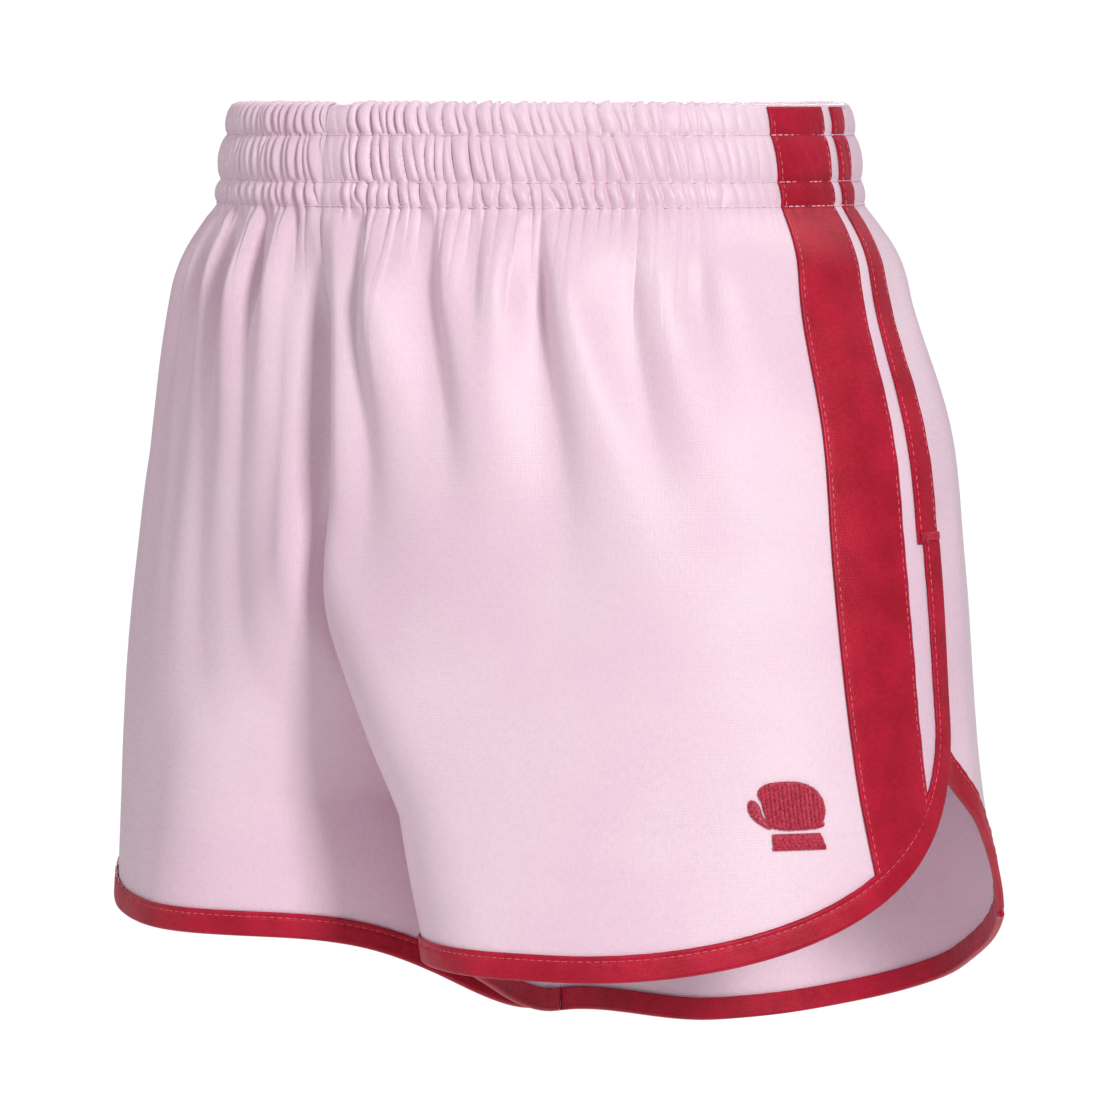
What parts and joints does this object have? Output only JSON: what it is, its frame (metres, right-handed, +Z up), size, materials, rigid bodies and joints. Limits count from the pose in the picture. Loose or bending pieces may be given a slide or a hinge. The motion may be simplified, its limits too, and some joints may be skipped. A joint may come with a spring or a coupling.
{
  "type": "satin athletic shorts",
  "caption": "Short satin athletic shorts with an elasticated gathered waist, side bands, open side vents, overlapping curved hems and contrast satin bindings.",
  "frame": {"origin": "middle of the waist opening, at the top edge of the waistband", "axes": "+Z up, front of the shorts faces -Y, wearer's left is +X"},
  "size_m": [0.3776, 0.2478, 0.3453],
  "materials": {
    "shell_satin": "pale pink satin weave, soft sheen",
    "trim_satin": "dark red satin tape, bright sheen",
    "trim_thread": "red embroidery thread",
    "pocket_lining": "pale pink plain weave lining",
    "seam_edges": "overlocked fabric edges",
    "knit_elastic": "white knitted elastic webbing",
    "waist_thread": "pale pink sewing thread",
    "woven_label": "blank white woven label"
  },
  "bodies": {
    "root": {"front_panel_left": "shell_satin", "front_panel_right": "shell_satin", "back_panel_left": "shell_satin", "back_panel_right": "shell_satin", "front_hem_binding_left": "trim_satin", "front_hem_binding_right": "trim_satin", "back_hem_binding_left": "trim_satin", "back_hem_binding_right": "trim_satin", "back_vent_binding_left": "trim_satin", "back_vent_binding_right": "trim_satin", "side_band_left": "trim_satin", "side_band_right": "trim_satin", "side_seam_tape_left": "trim_satin", "side_seam_tape_right": "trim_satin", "vent_bartack_left": "trim_thread", "vent_bartack_right": "trim_thread", "pocket_bag_outer_left": "pocket_lining", "pocket_bag_outer_right": "pocket_lining", "pocket_bag_inner_left": "pocket_lining", "pocket_bag_inner_right": "pocket_lining", "inseam_left": "seam_edges", "inseam_right": "seam_edges", "front_rise_seam": "seam_edges", "back_rise_seam": "seam_edges", "waist_elastic": "knit_elastic", "waist_stitch_row_1": "waist_thread", "waist_stitch_row_2": "waist_thread", "waist_stitch_row_3": "waist_thread", "embroidered_emblem": "trim_thread", "care_label": "woven_label", "woven_label": "woven_label"}
  },
  "joints": []
}
